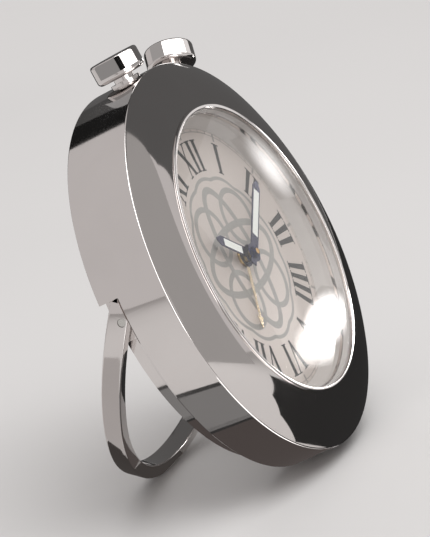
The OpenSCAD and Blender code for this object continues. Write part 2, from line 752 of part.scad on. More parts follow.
module hinge_washers() {
    color("gold") place() difference() {
        hinge_bores(washer_r, [washer_x, washer_x + washer_t]);
        hinge_bores(pin_r + 0.02, [cavity_r, case_r]);
    }
}

case_band();
bezel();
crystal();
crystal_gasket();
flange_ring();
dial();
movement_holder();
main_plate();
train_bridge();
bridge_screws();
circuit_board();
driver_chip();
quartz_can();
coil_winding();
coil_core();
stator();
rotor();
step_wheel();
seconds_wheel();
third_wheel();
centre_wheel();
cannon_pinion();
minute_wheel();
hour_wheel();
alarm_wheel();
alarm_idler();
battery();
battery_strap();
battery_leaf();
buzzer();
back_cover();
back_gasket();
cover_screws();
time_tube();
time_stem();
time_crown();
time_crown_seal();
time_slide();
alarm_tube();
alarm_stem();
alarm_crown();
alarm_crown_seal();
alarm_slide();
hoop_stand();
hinge_pins();
hinge_washers();
minute_hand();
minute_lume();
hour_hand();
hour_lume();
alarm_hand();
hand_cap();
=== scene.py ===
import json
import math

import bmesh
import bpy
from mathutils import Matrix, Vector


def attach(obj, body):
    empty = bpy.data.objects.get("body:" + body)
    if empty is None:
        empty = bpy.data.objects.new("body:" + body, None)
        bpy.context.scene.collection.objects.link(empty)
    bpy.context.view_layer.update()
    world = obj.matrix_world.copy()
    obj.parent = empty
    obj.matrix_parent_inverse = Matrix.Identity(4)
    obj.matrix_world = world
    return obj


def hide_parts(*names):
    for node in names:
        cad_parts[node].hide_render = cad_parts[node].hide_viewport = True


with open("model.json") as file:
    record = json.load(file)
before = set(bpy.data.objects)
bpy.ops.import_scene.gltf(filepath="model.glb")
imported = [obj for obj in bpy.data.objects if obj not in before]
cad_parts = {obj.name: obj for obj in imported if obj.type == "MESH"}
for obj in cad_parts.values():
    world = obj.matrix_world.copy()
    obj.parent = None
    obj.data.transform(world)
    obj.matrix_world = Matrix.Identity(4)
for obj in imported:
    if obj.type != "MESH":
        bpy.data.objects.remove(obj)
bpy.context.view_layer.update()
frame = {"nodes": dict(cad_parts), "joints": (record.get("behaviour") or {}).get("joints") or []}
scene = bpy.context.scene
nodes = frame["nodes"]
joints = {j["name"]: j for j in frame["joints"]}
print("frame loaded:", len(nodes), "nodes")

# The clock's own axes: X to 3 o'clock, Y to 12 o'clock, Z out of the dial, in millimetres,
# with the origin where the hands' axle crosses the front edge of the case band.
axle = joints["minute_turn"]
outOfDial = -Vector(axle["axis"])
toThree = Vector((1, 0, 0))
toTwelve = outOfDial.cross(toThree)
clock = Matrix((toThree, toTwelve, outOfDial)).transposed().to_4x4()
clock.translation = Vector(axle["pos_m"])
clock = clock @ Matrix.Scale(0.001, 4)


class Wire:
    def __init__(self, finish, socket):
        self.finish = finish
        self.socket = socket

    def __add__(self, other):
        return self.finish.maths("ADD", self, other)

    def __radd__(self, other):
        return self.finish.maths("ADD", other, self)

    def __sub__(self, other):
        return self.finish.maths("SUBTRACT", self, other)

    def __rsub__(self, other):
        return self.finish.maths("SUBTRACT", other, self)

    def __mul__(self, other):
        return self.finish.maths("MULTIPLY", self, other)

    def __rmul__(self, other):
        return self.finish.maths("MULTIPLY", other, self)

    def __pow__(self, other):
        return self.finish.maths("POWER", self, other)


class Finish:
    def __init__(self, name):
        self.material = bpy.data.materials.new(name)
        self.material.use_nodes = True
        self.tree = self.material.node_tree
        self.tree.nodes.clear()

    # settings go on first, then values or wires on the sockets; give names the output wanted
    def node(self, kind, settings=None, sockets=None, give=0):
        made = self.tree.nodes.new(kind)
        for key, value in (settings or {}).items():
            setattr(made, key, value)
        for key, value in (sockets or {}).items():
            if isinstance(value, Wire):
                self.tree.links.new(value.socket, made.inputs[key])
            else:
                made.inputs[key].default_value = value
        if isinstance(give, tuple):
            return [Wire(self, made.outputs[g]) for g in give]
        return Wire(self, made.outputs[give])

    def maths(self, operation, first, second=0.0):
        return self.node("ShaderNodeMath", {"operation": operation}, {0: first, 1: second})

    # 0 below low, 1 above high, smooth between
    def rise(self, value, low, high):
        return self.node("ShaderNodeMapRange", {"interpolation_type": "SMOOTHSTEP"},
                         {"Value": value, "From Min": low, "From Max": high})

    def mixed(self, factor, first, second):
        return self.node("ShaderNodeMix", {"data_type": "RGBA"}, {0: factor, 6: first, 7: second}, 2)

    def noise(self, size, detail=3.0, where=None, stretch=None):
        where = where or self.node("ShaderNodeTexCoord", give="Object")
        if stretch:
            where = self.node("ShaderNodeVectorMath", {"operation": "MULTIPLY"}, {0: where, 1: stretch})
        sockets = {"Vector": where, "Scale": 1 / size, "Detail": detail}
        return self.node("ShaderNodeTexNoise", {}, sockets, "Fac")

    # place on the clock's own axes, in metres: x, y, z and the distance from the axle
    def onClock(self):
        place = self.node("ShaderNodeTexCoord", give="Object")
        arm = self.node("ShaderNodeVectorMath", {"operation": "SUBTRACT"},
                        {0: place, 1: Vector(axle["pos_m"])})
        x, y, z = [self.node("ShaderNodeVectorMath", {"operation": "DOT_PRODUCT"}, {0: arm, 1: way}, "Value")
                   for way in (toThree, toTwelve, outOfDial)]
        return x, y, z, (x * x + y * y) ** 0.5

    def bump(self, height, strength, distance):
        return self.node("ShaderNodeBump", {}, {"Height": height, "Strength": strength, "Distance": distance})

    def shade(self, **sockets):
        named = {key.replace("_", " "): value for key, value in sockets.items()}
        self.close(self.node("ShaderNodeBsdfPrincipled", {}, named))
        return self.material

    def close(self, shader):
        self.node("ShaderNodeOutputMaterial", {}, {"Surface": shader}, ())


def polishedSteel(name, tint, roughness, smear):
    f = Finish(name)
    wipe = f.noise(0.011, 4.0)
    hair = f.noise(0.00035, 2.0, stretch=(1.0, 0.08, 0.08))
    rough = roughness + smear * f.rise(wipe, 0.42, 0.75) + smear * 0.3 * hair
    colour = f.mixed(f.rise(wipe, 0.35, 0.8) * 0.5, (*tint, 1), (*[c * 0.93 for c in tint], 1))
    normal = f.bump(hair, 0.02, 0.00002)
    return f.shade(Base_Color=colour, Metallic=1.0, Roughness=rough, Normal=normal)


def turnedSteel(name, tint, roughness, pitch):
    f = Finish(name)
    x, y, z, r = f.onClock()
    rings = f.maths("SINE", r * (2 * math.pi / pitch) + 2.5 * f.noise(0.004))
    grain = f.noise(0.0006, 2.0)
    colour = f.mixed(0.5 + 0.25 * rings + 0.25 * grain, (*tint, 1), (*[c * 0.86 for c in tint], 1))
    rough = roughness + 0.05 * rings + 0.08 * f.noise(0.009)
    return f.shade(Base_Color=colour, Metallic=0.55, Roughness=rough, Normal=f.bump(rings, 0.25, 0.00001))


def plainMetal(name, tint, roughness, grainSize=0.0004):
    f = Finish(name)
    grain = f.noise(grainSize, 2.0, stretch=(1.0, 0.2, 1.0))
    colour = f.mixed(f.noise(0.004), (*tint, 1), (*[c * 0.82 for c in tint], 1))
    return f.shade(Base_Color=colour, Metallic=1.0, Roughness=roughness + 0.12 * grain,
                   Normal=f.bump(grain, 0.15, 0.00001))


def plasticLike(name, tint, roughness, grainSize=0.0003):
    f = Finish(name)
    grain = f.noise(grainSize, 2.0)
    colour = f.mixed(f.noise(0.006), (*tint, 1), (*[c * 0.8 for c in tint], 1))
    return f.shade(Base_Color=colour, Roughness=roughness + 0.1 * grain, Normal=f.bump(grain, 0.2, 0.00002))


def crystalGlass():
    f = Finish("crystalGlass")
    smear = f.rise(f.noise(0.012, 4.0), 0.5, 0.8)
    mirror = f.node("ShaderNodeBsdfGlossy", {}, {"Color": (1, 1, 1, 1), "Roughness": 0.01 + 0.02 * smear})
    clear = f.node("ShaderNodeBsdfTransparent", {}, {"Color": (0.985, 0.985, 0.98, 1)})
    facing = f.node("ShaderNodeLayerWeight", {}, {"Blend": 0.5}, "Facing")
    share = 0.025 + 0.55 * facing ** 5.0
    f.close(f.node("ShaderNodeMixShader", {}, {0: share + 0.004 * smear, 1: clear, 2: mirror}))
    return f.material


def silveredDial():
    f = Finish("silveredDial")
    x, y, z, r = f.onClock()
    turn = f.maths("ARCTAN2", x, y)
    rays = f.maths("SINE", turn * 180.0 + 6.0 * f.noise(0.002)) * f.rise(r, 0.001, 0.008)
    grain = f.noise(0.00025, 2.0)
    cloud = f.noise(0.014, 2.0)
    colour = f.mixed(0.35 * cloud + 0.25 * grain + 0.1 * rays, (0.66, 0.60, 0.57, 1), (0.54, 0.485, 0.455, 1))
    return f.shade(Base_Color=colour, Metallic=0.35, Roughness=0.42 + 0.1 * grain,
                   Normal=f.bump(grain + 0.3 * rays, 0.12, 0.00001))


def printedInk(name, tint):
    f = Finish(name)
    grain = f.noise(0.0004, 3.0)
    colour = f.mixed(grain, (*tint, 1), (*[min(1, c * 1.35 + 0.01) for c in tint], 1))
    return f.shade(Base_Color=colour, Roughness=0.38 + 0.2 * grain, Normal=f.bump(grain, 0.15, 0.00001))


def bluedSteel():
    f = Finish("bluedSteel")
    heat = f.noise(0.003, 2.0)
    colour = f.mixed(heat, (0.010, 0.014, 0.085, 1), (0.02, 0.014, 0.06, 1))
    return f.shade(Base_Color=colour, Metallic=0.85, Roughness=0.2 + 0.1 * f.noise(0.0005), Coat_Weight=0.3,
                   Coat_Roughness=0.1)


# two metals that meet at a radius round the axle
def hubMetal(name, radius, inside, outside):
    f = Finish(name)
    x, y, z, r = f.onClock()
    fade = 0.00004
    colour = f.mixed(f.rise(r, radius - fade, radius + fade), (*inside, 1), (*outside, 1))
    colour = f.mixed(0.3 * f.noise(0.002), colour, (0.03, 0.03, 0.05, 1))
    return f.shade(Base_Color=colour, Metallic=0.9, Roughness=0.2 + 0.1 * f.noise(0.0006))


def whiteLume():
    f = Finish("whiteLume")
    grain = f.noise(0.00018, 3.0)
    colour = f.mixed(grain, (0.86, 0.88, 0.86, 1), (0.74, 0.76, 0.73, 1))
    return f.shade(Base_Color=colour, Roughness=0.55 + 0.2 * grain, Normal=f.bump(grain, 0.35, 0.00003))


def woundCopper():
    f = Finish("woundCopper")
    x, y, z, r = f.onClock()
    turns = f.maths("SINE", x * (2 * math.pi / 0.00022))
    colour = f.mixed(0.5 + 0.5 * turns, (0.55, 0.21, 0.09, 1), (0.30, 0.09, 0.035, 1))
    return f.shade(Base_Color=colour, Metallic=0.8, Roughness=0.3 + 0.1 * f.noise(0.001),
                   Normal=f.bump(turns, 0.6, 0.00004))


def paleFloor(tint):
    f = Finish("paleFloor")
    cloud = f.noise(0.35, 3.0)
    grain = f.noise(0.0012, 2.0)
    colour = f.mixed(cloud, (*tint, 1), (*[c * 0.93 for c in tint], 1))
    return f.shade(Base_Color=colour, Roughness=0.8 + 0.1 * grain, Specular_IOR_Level=0.0,
                   Normal=f.bump(grain, 0.02, 0.0001))


steelTint = (0.74, 0.705, 0.69)
finishes = {
    "polished_steel": polishedSteel("polishedSteel", steelTint, 0.035, 0.05),
    "satin_steel": turnedSteel("satinSteel", (0.62, 0.60, 0.585), 0.24, 0.0006),
    "crystal_glass": crystalGlass(),
    "seal_rubber": plasticLike("sealRubber", (0.02, 0.02, 0.021), 0.6),
    "seal_nylon": plasticLike("sealNylon", (0.60, 0.58, 0.57), 0.4),
    "grey_flange": plasticLike("greyFlange", (0.56, 0.53, 0.515), 0.45),
    "silvered_dial": silveredDial(),
    "holder_plastic": plasticLike("holderPlastic", (0.10, 0.10, 0.105), 0.5),
    "plate_resin": plasticLike("plateResin", (0.16, 0.24, 0.20), 0.45),
    "nickel": plainMetal("nickel", (0.66, 0.65, 0.62), 0.22),
    "board_green": plasticLike("boardGreen", (0.02, 0.13, 0.06), 0.35),
    "chip_black": plasticLike("chipBlack", (0.015, 0.015, 0.016), 0.4),
    "copper": woundCopper(),
    "soft_iron": plainMetal("softIron", (0.36, 0.36, 0.37), 0.4),
    "brass": plainMetal("brass", (0.72, 0.52, 0.22), 0.25),
    "blued_steel": bluedSteel(),
    "lume_white": whiteLume(),
    "hub_cap": hubMetal("hubCap", 0.0006, (0.82, 0.50, 0.16), (0.014, 0.02, 0.11)),
    "alarm_gilt": hubMetal("alarmGilt", 0.0023, (0.02, 0.018, 0.05), (0.80, 0.66, 0.47)),
}
blackInk = printedInk("blackInk", (0.012, 0.012, 0.013))
greyInk = printedInk("greyInk", (0.27, 0.26, 0.25))
trackInk = printedInk("trackInk", (0.25, 0.235, 0.225))

nodeFinish = {
    "crystal_gasket": "seal_nylon", "back_gasket": "seal_rubber", "time_crown_seal": "seal_rubber",
    "alarm_crown_seal": "seal_rubber", "flange_ring": "grey_flange", "movement_holder": "holder_plastic",
    "main_plate": "plate_resin", "circuit_board": "board_green", "driver_chip": "chip_black",
    "coil_winding": "copper", "coil_core": "soft_iron", "stator": "soft_iron", "rotor": "soft_iron",
    "step_wheel": "lume_white", "back_cover": "satin_steel", "case_band": "polished_steel",
    "bezel": "polished_steel", "crystal": "crystal_glass", "dial": "silvered_dial",
    "hoop_stand": "polished_steel", "time_crown": "polished_steel", "alarm_crown": "polished_steel",
    "time_tube": "polished_steel", "alarm_tube": "polished_steel", "minute_hand": "blued_steel",
    "hour_hand": "blued_steel", "minute_lume": "lume_white", "hour_lume": "lume_white",
    "alarm_hand": "alarm_gilt", "hand_cap": "hub_cap", "hinge_washers": "brass", "time_slide": "nickel",
    "alarm_slide": "nickel",
}
brassNodes = ("seconds_wheel", "third_wheel", "centre_wheel", "cannon_pinion", "minute_wheel", "hour_wheel",
              "alarm_wheel", "alarm_idler", "buzzer")
for name, obj in nodes.items():
    wanted = nodeFinish.get(name) or ("brass" if name in brassNodes else "nickel")
    obj.data.materials.clear()
    obj.data.materials.append(finishes[wanted])
print("finishes made:", len(finishes))


# meshes are drawn in millimetres on the clock's axes
def arc(centre, radius, start, end, steps):
    angles = [math.radians(start + (end - start) * i / steps) for i in range(steps + 1)]
    return [(centre[0] + radius * math.cos(a), centre[1] + radius * math.sin(a)) for a in angles]


# corners: (r, z, rounding); a rounding of 0 keeps the corner sharp
def rounded(corners, steps=5):
    line = []
    for i, (r, z, size) in enumerate(corners):
        here = Vector((r, z))
        if not size:
            line.append((r, z))
            continue
        before = Vector(corners[i - 1][:2])
        after = Vector(corners[(i + 1) % len(corners)][:2])
        start = here + (before - here).normalized() * size
        end = here + (after - here).normalized() * size
        for k in range(steps + 1):
            t = k / steps
            line.append(tuple(start * (1 - t) ** 2 + here * 2 * t * (1 - t) + end * t * t))
    return line


# a closed profile of (r, z) turned round Z
def turned(profile, steps=256, start=0.0, sweep=360.0):
    bm = bmesh.new()
    whole = abs(sweep - 360) < 1e-6
    count = steps if whole else steps + 1
    rows = []
    for i in range(count):
        a = math.radians(start + sweep * i / steps)
        rows.append([bm.verts.new((r * math.cos(a), r * math.sin(a), z)) for r, z in profile])
    for i in range(steps):
        here, there = rows[i], rows[(i + 1) % count]
        for k in range(len(profile)):
            n = (k + 1) % len(profile)
            bm.faces.new((here[k], there[k], there[n], here[n]))
    if not whole:
        bm.faces.new(rows[0])
        bm.faces.new(list(reversed(rows[-1])))
    bmesh.ops.remove_doubles(bm, verts=bm.verts, dist=1e-5)
    bmesh.ops.recalc_face_normals(bm, faces=bm.faces)
    return bm


def prism(outline, low, high):
    bm = bmesh.new()
    bottom = [bm.verts.new((x, y, low)) for x, y in outline]
    top = [bm.verts.new((x, y, high)) for x, y in outline]
    bm.faces.new(list(reversed(bottom)))
    bm.faces.new(top)
    for i in range(len(outline)):
        n = (i + 1) % len(outline)
        bm.faces.new((bottom[i], bottom[n], top[n], top[i]))
    bmesh.ops.recalc_face_normals(bm, faces=bm.faces)
    return bm


def joined(parts):
    bm = bmesh.new()
    for part in parts:
        held = bpy.data.meshes.new("held")
        part.to_mesh(held)
        part.free()
        bm.from_mesh(held)
        bpy.data.meshes.remove(held)
    return bm


def asObject(name, bm):
    mesh = bpy.data.meshes.new(name)
    bm.to_mesh(mesh)
    bm.free()
    obj = bpy.data.objects.new(name, mesh)
    scene.collection.objects.link(obj)
    return obj


def carve(obj, tool, operation="DIFFERENCE"):
    cutter = asObject("cutter", tool)
    cut = obj.modifiers.new("carve", "BOOLEAN")
    cut.operation = operation
    cut.solver = "EXACT"
    cut.object = cutter
    bpy.context.view_layer.update()
    done = bpy.data.meshes.new_from_object(obj.evaluated_get(bpy.context.evaluated_depsgraph_get()))
    obj.modifiers.clear()
    obj.data = done
    bpy.data.objects.remove(cutter)


# puts a shape drawn on the clock's axes in its place and gives it its body, finish and edges
def settle(obj, body, finish, stands=(), sharp=32.0, local=None):
    obj.data.transform(clock @ local if local else clock)
    obj.data.materials.clear()
    obj.data.materials.append(finish)
    obj.data.shade_smooth()
    obj.data.set_sharp_from_angle(angle=math.radians(sharp))
    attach(obj, body)
    if stands:
        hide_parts(*stands)
    return obj


case = {
    "radius": 40.0, "depth": 13.4, "cavity": 34.2, "edge": 0.38, "backEdge": 0.32, "coverEdge": 0.12,
    "ledge": -9.45, "core": 36.4, "boss": 37.15, "notch": 8.3,
    "coverSeat": -12.1, "coverRadius": 34.95, "seatWidth": 3.7, "seatThick": 1,
}


def caseBand(c):
    back = -c["depth"]
    seatIn, seatTop = c["cavity"] - c["seatWidth"], c["coverSeat"] + c["seatThick"]
    profile = rounded([
        (c["coverRadius"], back, c["coverEdge"]), (c["radius"], back, c["backEdge"]),
        (c["radius"], 0, c["edge"]), (c["cavity"], 0, 0), (c["cavity"], seatTop, 0), (seatIn, seatTop, 0),
        (seatIn, c["coverSeat"], 0), (c["coverRadius"], c["coverSeat"], 0),
    ], 6)
    band = asObject("bandShell", turned(profile, 360))
    # the step round the lower half that the folded hoop lies in, with a boss beside each hinge
    out = c["radius"] + 2
    reach = math.degrees(math.asin(c["notch"] / c["boss"]))
    outline = arc((0, 0), c["boss"], reach, 0, 12) + arc((0, 0), c["core"], 0, -180, 180)
    outline += arc((0, 0), c["boss"], 180, 180 - reach, 12)
    outline += [(-out, c["notch"]), (-out, -out), (out, -out), (out, c["notch"])]
    carve(band, prism(outline, back - 1, c["ledge"]))
    # the ledge's outer edge is taken off at 45 degrees
    wedge = [(c["radius"] - 0.4, c["ledge"] - 0.1), (c["radius"] + 0.1, c["ledge"] + 0.4),
             (out, c["ledge"] + 0.4), (out, c["ledge"] - 0.1)]
    spread = math.degrees(math.asin(c["notch"] / c["radius"])) - 0.05
    carve(band, turned(wedge, 330, -180 - spread, 180 + 2 * spread))
    return settle(band, "case", finishes["polished_steel"], ("case_band",), 30)


bezel = {
    "rim": 39.65, "lip": 29.7, "lipTop": 3.2, "bulge": 0.64,
    "beadOut": 29.78, "beadIn": 28.84, "beadTop": 3.5, "beadFoot": 2.98, "outRound": 0.17, "inRound": 0.24,
    "glassHole": 29.1, "glassSeat": 1.4, "throat": 28.4, "throatLow": 0.9,
    "skirtIn": 31.1, "skirtOut": 34.15, "skirtEnd": -2.85,
}


def bezelShell(b):
    low, high = Vector((b["rim"], 0.0)), Vector((b["lip"], b["lipTop"]))
    chord = (high - low).length
    radius = chord * chord / (8 * b["bulge"]) + b["bulge"] / 2
    middle = (low + high) / 2
    inward = Vector((-b["lipTop"], -(b["rim"] - b["lip"]))).normalized()
    centre = middle + inward * (radius - b["bulge"])
    first = math.degrees(math.atan2(low.y - centre.y, low.x - centre.x))
    last = math.degrees(math.atan2(high.y - centre.y, high.x - centre.x))
    curve = arc(centre, radius, first, last, 26)
    inner = rounded([
        (b["lip"], b["lipTop"], 0), (b["beadOut"], b["lipTop"] + 0.04, 0),
        (b["beadOut"] - 0.02, b["beadTop"], b["outRound"]), (b["beadIn"], b["beadTop"], b["inRound"]),
        (b["beadIn"], b["beadFoot"], 0.1),
        (b["glassHole"], 2.86, 0), (b["glassHole"], b["glassSeat"], 0), (b["throat"], b["glassSeat"], 0),
        (b["throat"], b["throatLow"], 0), (b["skirtIn"], b["throatLow"], 0), (b["skirtIn"], b["skirtEnd"], 0),
        (b["skirtOut"], b["skirtEnd"], 0), (b["skirtOut"], 0, 0),
    ], 6)
    shell = asObject("bezelShell", turned(curve + inner[1:], 360))
    return settle(shell, "case", finishes["polished_steel"], ("bezel",), 30)


crystal = {"rim": 28.75, "low": 1.4, "top": 3.0, "dome": 0.7, "edge": 0.22, "land": 1.2, "landRise": 0.06}


def domedCrystal(g):
    rim, low, top = g["rim"], g["low"], g["top"]
    face = [(rim * (1 - i / 24), top + g["dome"] * (1 - (1 - i / 24) ** 2)) for i in range(1, 25)]
    under = [(rim * i / 12, low) for i in range(12)]
    edge = rounded([(rim, low, 0), (rim, top, g["edge"]), (rim - g["land"], top + g["landRise"], 0)])[:-1]
    glass = asObject("crystalGlass", turned(edge + face + under, 256))
    return settle(glass, "case", finishes["crystal_glass"], ("crystal",), 30)


caseBand(case)
bezelShell(bezel)
domedCrystal(crystal)
print("case, bezel and crystal made")

dial = {
    "face": -2.4, "thick": 0.45, "radius": 30.95, "bore": 1.9, "ink": 0.02, "inkFoot": 0.002, "turn": 3.0,
    "numeralFoot": 18.2, "numeralTop": 24.8, "thickStroke": 1.05, "thinStroke": 0.36, "serif": 0.26,
    "letterGap": 0.28, "wordWidth": 8.6, "wordRadius": 20.5,
    "trackInner": 26.3, "trackOuter": 27.0, "trackLine": 0.14, "hourMark": 0.55, "minuteMark": 0.22,
    "hourLonger": 1.0,
}


def dialDisc(d):
    back = d["face"] - d["thick"]
    profile = [(d["bore"], back), (d["radius"], back), (d["radius"], d["face"]), (d["bore"], d["face"])]
    disc = asObject("dialFace", turned(profile, 256))
    return settle(disc, "case", finishes["silvered_dial"], ("dial",))


# strokes of one letter as four-cornered shapes: across the letter, and 0 to 1 from foot to top;
# a bar has its left and right edge at the foot, then both at the top
def letterStrokes(letter, left, d):
    thick, thin, serif = d["thickStroke"], d["thinStroke"], d["serif"]
    height = d["numeralTop"] - d["numeralFoot"]
    cap = serif / height
    if letter == "I":
        width = thick + 0.9
        middle = left + width / 2
        bars = [(middle - thick / 2, middle + thick / 2, middle - thick / 2, middle + thick / 2)]
        feet = [(left, left + width, 0), (left, left + width, 1 - cap)]
    elif letter == "V":
        width = 4.3
        foot = left + 2.15
        bars = [(foot - thick * 0.3, foot + thick * 0.45, left + 0.35, left + 0.35 + thick),
                (foot - thin * 0.3, foot + thin * 0.8, left + 3.7, left + 3.7 + thin)]
        feet = [(left - 0.05, left + 1.75, 1 - cap), (left + 3.2, left + 4.5, 1 - cap)]
    else:
        width = 4.5
        bars = [(left + 3.1, left + 3.1 + thick, left + 0.35, left + 0.35 + thick),
                (left + 0.55, left + 0.55 + thin, left + 3.6, left + 3.6 + thin)]
        feet = [(left, left + 1.5, 0), (left + 2.8, left + 4.5, 0), (left, left + 1.8, 1 - cap),
                (left + 3.1, left + 4.5, 1 - cap)]
    shapes = [[(a, 0), (b, 0), (f, 1), (e, 1)] for a, b, e, f in bars]
    shapes += [[(a, low), (b, low), (b, low + cap), (a, low + cap)] for a, b, low in feet]
    return shapes, width


def printed(outlines, d):
    return joined(prism(line, d["face"] + d["inkFoot"], d["face"] + d["ink"]) for line in outlines)


def numerals(d):
    words = ["XII", "I", "II", "III", "IIII", "V", "VI", "VII", "VIII", "IX", "X", "XI"]
    height = d["numeralTop"] - d["numeralFoot"]
    outlines = []
    for hour, word in enumerate(words):
        shapes, left = [], 0.0
        for letter in word:
            made, width = letterStrokes(letter, left, d)
            shapes += made
            left += width + d["letterGap"]
        left -= d["letterGap"]
        squeeze = min(1.0, d["wordWidth"] / left)
        for shape in shapes:
            line = []
            for i, (u, v) in enumerate(shape):      # extra points keep long strokes true to the circle
                nu, nv = shape[(i + 1) % 4]
                for k in range(4):
                    t = k / 4
                    au, av = u + (nu - u) * t, v + (nv - v) * t
                    a = math.radians(30 * hour + d["turn"]) + (au - left / 2) * squeeze / d["wordRadius"]
                    r = d["numeralFoot"] + av * height
                    line.append((r * math.sin(a), r * math.cos(a)))
            outlines.append(line)
    obj = asObject("dialNumerals", printed(outlines, d))
    return settle(obj, "case", blackInk, ())


def track(d):
    outlines = []
    for k in range(60):
        wide = d["hourMark"] if k % 5 == 0 else d["minuteMark"]
        inner = d["trackInner"] - (d["hourLonger"] if k % 5 == 0 else 0)
        a = math.radians(6 * k + d["turn"])
        across = Vector((math.cos(a), -math.sin(a))) * wide / 2
        along = Vector((math.sin(a), math.cos(a)))
        line = [along * inner - across, along * inner + across, along * d["trackOuter"] + across,
                along * d["trackOuter"] - across]
        outlines.append([tuple(p) for p in line])
    parts = [printed(outlines, d)]
    low, high = d["face"] + d["inkFoot"], d["face"] + d["ink"]
    for r in (d["trackInner"], d["trackOuter"]):
        edge = r + d["trackLine"]
        parts.append(turned([(r, low), (edge, low), (edge, high), (r, high)], 240))
    return settle(asObject("minuteTrack", joined(parts)), "case", trackInk, ())


# a band of ink that follows a closed line of points
def inkLoop(points, width, low, high):
    bm = bmesh.new()
    rows = []
    count = len(points)
    for i in range(count):
        before, after = Vector(points[i - 1]), Vector(points[(i + 1) % count])
        way = (after - before).normalized()
        out = Vector((way.y, -way.x)) * width / 2
        here = Vector(points[i])
        inner, outer = here - out, here + out
        corners = ((inner, low), (outer, low), (outer, high), (inner, high))
        rows.append([bm.verts.new((p.x, p.y, z)) for p, z in corners])
    for i in range(count):
        here, there = rows[i], rows[(i + 1) % count]
        for k in range(4):
            bm.faces.new((here[k], there[k], there[(k + 1) % 4], here[(k + 1) % 4]))
    bmesh.ops.recalc_face_normals(bm, faces=bm.faces)
    return bm


ornament = {
    "width": 1.45, "ellipseLong": 14.6, "ellipseShort": 6.3, "lobeAt": 9.6, "lobeRadius": 5.6,
    "scallop": 16.3, "wave": 0.55, "lobeWidth": 0.8, "scallopWidth": 0.5,
}


def dialOrnament(d, o):
    low = d["face"] + d["inkFoot"]
    parts = []
    # the loops differ a little in height, so that no two tops lie in one plane where they cross
    for k in range(2):
        line = []
        for i in range(120):
            a = 2 * math.pi * i / 120
            x, y = o["ellipseShort"] * math.cos(a), o["ellipseLong"] * math.sin(a)
            line.append((x, y) if k == 0 else (y, x))
        parts.append(inkLoop(line, o["width"], low, d["face"] + 0.014 + 0.003 * k))
    for k in range(4):
        a = math.radians(45 + 90 * k)
        centre = (o["lobeAt"] * math.sin(a), o["lobeAt"] * math.cos(a))
        lobe = arc(centre, o["lobeRadius"], 0, 357, 119)
        parts.append(inkLoop(lobe, o["width"] * o["lobeWidth"], low, d["face"] + 0.012))
    line = []
    for i in range(240):
        a = 2 * math.pi * i / 240
        r = o["scallop"] + o["wave"] * abs(math.cos(6 * a))
        line.append((r * math.sin(a), r * math.cos(a)))
    parts.append(inkLoop(line, o["width"] * o["scallopWidth"], low, d["face"] + 0.01))
    return settle(asObject("dialOrnament", joined(parts)), "case", greyInk, ())


dialDisc(dial)
numerals(dial)
track(dial)
dialOrnament(dial, ornament)
print("dial made")

crown = {
    "radius": 4.95, "base": 41.35, "height": 4.2, "neck": 2.0, "neckEnd": 36.0, "bevel": 0.5,
    "round": 0.7, "bevelRound": 0.3, "baseRound": 0.25, "neckRound": 0.12,
    "behind": -6.0, "spread": 30.0, "travel": 1.8,
}


def crownCap(name, body, node, turn, out, c):
    top = c["base"] + c["height"]
    half = c["radius"]
    profile = rounded([
        (0, c["neckEnd"], 0), (c["neck"], c["neckEnd"], 0), (c["neck"], c["base"], c["neckRound"]),
        (half - c["bevel"], c["base"], c["baseRound"]), (half, c["base"] + c["bevel"], c["bevelRound"]),
        (half, top, c["round"]), (0.001, top, 0),
    ], 6)
    cap = asObject(name, turned(profile, 160))
    lie = (Matrix.Rotation(math.radians(-turn), 4, "Z") @ Matrix.Translation((0, out, c["behind"]))
           @ Matrix.Rotation(math.radians(-90), 4, "X"))
    return settle(cap, body, finishes["polished_steel"], (node,), 35, local=lie)


crownCap("timeCrownCap", "time_setter", "time_crown", 0, 0, crown)
crownCap("alarmCrownCap", "alarm_setter", "alarm_crown", crown["spread"], crown["travel"], crown)
print("crowns made")

stand = {
    "outer": 40.0, "inner": 37.4, "back": -13.4, "front": -9.6, "edge": 0.34, "hingeUp": 4.0,
    "hingeBack": -10.65, "above": 3.35, "armEnd": 4.15, "open": 38.3, "pin": 0.8, "ledge": -9.45,
}


def hoopStand(s):
    profile = rounded([(s["inner"], s["back"], s["edge"]), (s["outer"], s["back"], s["edge"]),
                       (s["outer"], s["front"], s["edge"]), (s["inner"], s["front"], s["edge"])], 6)
    hoop = asObject("hoopShell", turned(profile, 360))
    out, up, hingeZ = s["outer"] + 2, s["hingeUp"], s["hingeBack"]
    # what is kept, seen from the side: all below the hinge, and the rounded arm ends above it
    end = [(min(y, up + s["above"]), z) for y, z in arc((up, hingeZ), s["armEnd"], -90, 90, 60)]
    side = prism([(-out, s["back"] - 3), (up, s["back"] - 3)] + end + [(up, 2), (-out, 2)], -out, out)
    bmesh.ops.transform(side, matrix=Matrix(((0, 0, 1, 0), (1, 0, 0, 0), (0, 1, 0, 0), (0, 0, 0, 1))),
                        verts=side.verts)
    carve(hoop, side, "INTERSECT")
    bore = turned([(0, -out), (s["pin"], -out), (s["pin"], out), (0, out)], 48)
    hinge = Matrix.Translation((0, up, hingeZ))
    bmesh.ops.transform(bore, matrix=hinge @ Matrix.Rotation(math.radians(90), 4, "Y"), verts=bore.verts)
    carve(hoop, bore)
    hoop.data.transform(hinge @ Matrix.Rotation(math.radians(s["open"]), 4, "X") @ hinge.inverted())
    # the stop facets, where the open arms meet the case's ledge
    carve(hoop, prism([(-out, up - 1), (out, up - 1), (out, up + 9), (-out, up + 9)], s["ledge"] - 0.02, 3))
    return settle(hoop, "stand", finishes["polished_steel"], ("hoop_stand",), 30)


hoopStand(stand)
print("stand made")

